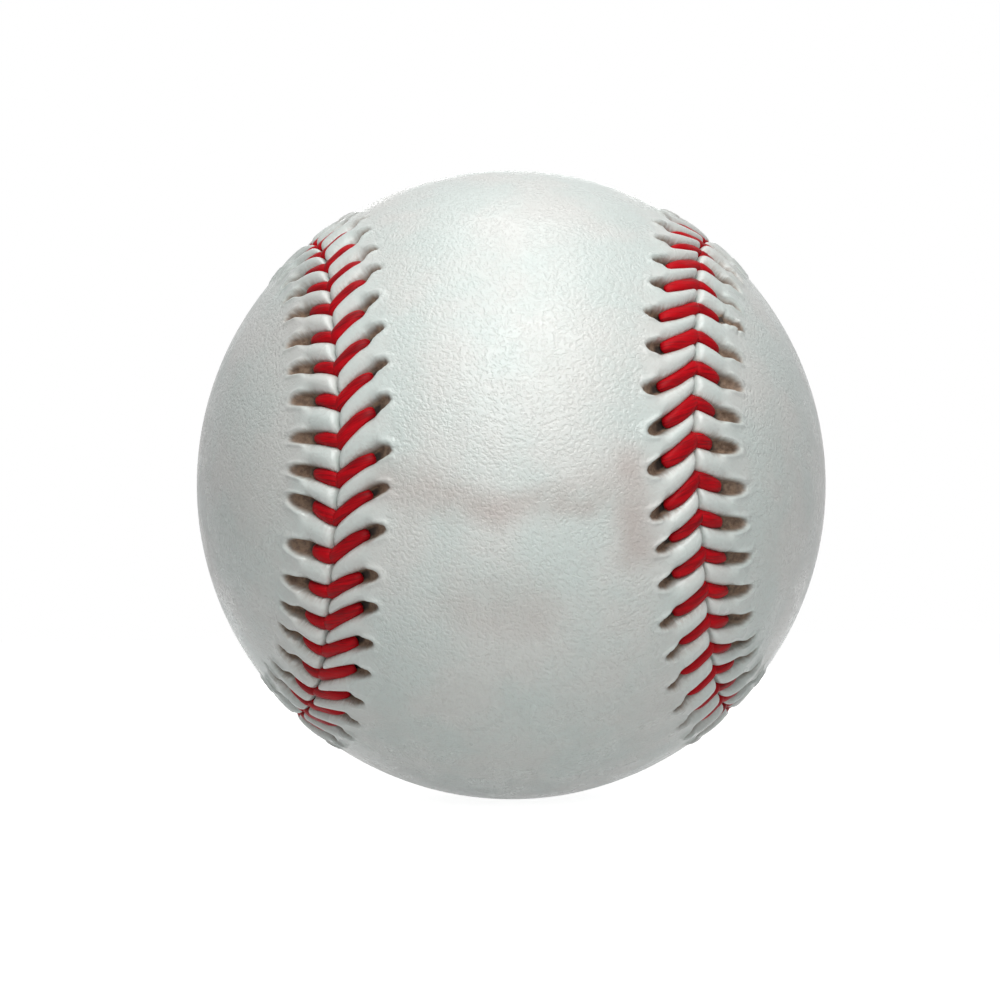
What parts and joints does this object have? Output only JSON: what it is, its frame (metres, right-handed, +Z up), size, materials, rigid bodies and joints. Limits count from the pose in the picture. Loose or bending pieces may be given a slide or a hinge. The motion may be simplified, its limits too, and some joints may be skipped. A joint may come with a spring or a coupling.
{
  "type": "baseball",
  "caption": "Round ball of two figure-eight leather panels joined by a raised red herringbone seam over yarn windings and a rubber and cork centre.",
  "frame": {"origin": "the ball's centre", "axes": "-Y towards the viewer through the near panel's waist; +Z up through one lobe of that panel; +X to the viewer's right through a lobe of the other panel, whose waist faces +Y"},
  "size_m": [0.0742, 0.0742, 0.0742],
  "materials": {
    "cork": "cork and rubber granules pressed into a ball",
    "black_rubber": "moulded, satin",
    "gasket_rubber": "cut sheet, matte",
    "red_rubber": "moulded, satin",
    "grey_wool": "wound wool yarn",
    "white_wool": "wound wool yarn",
    "finishing_yarn": "fine cotton and polyester yarn",
    "cement": "brushed latex cement, dry",
    "cover_leather": "off-white, fine grain, satin, lightly handled",
    "seam_thread": "red waxed cotton thread, two-ply"
  },
  "bodies": {
    "root": {"cork_core": "cork", "upper_inner_shell": "black_rubber", "lower_inner_shell": "black_rubber", "shell_gasket": "gasket_rubber", "red_rubber_layer": "red_rubber", "grey_wool_winding": "grey_wool", "white_wool_winding": "white_wool", "outer_wool_winding": "grey_wool", "finishing_winding": "finishing_yarn", "cement_coat": "cement", "front_cover_panel": "cover_leather", "side_cover_panel": "cover_leather", "front_panel_stitches": "seam_thread", "side_panel_stitches": "seam_thread"}
  },
  "joints": []
}
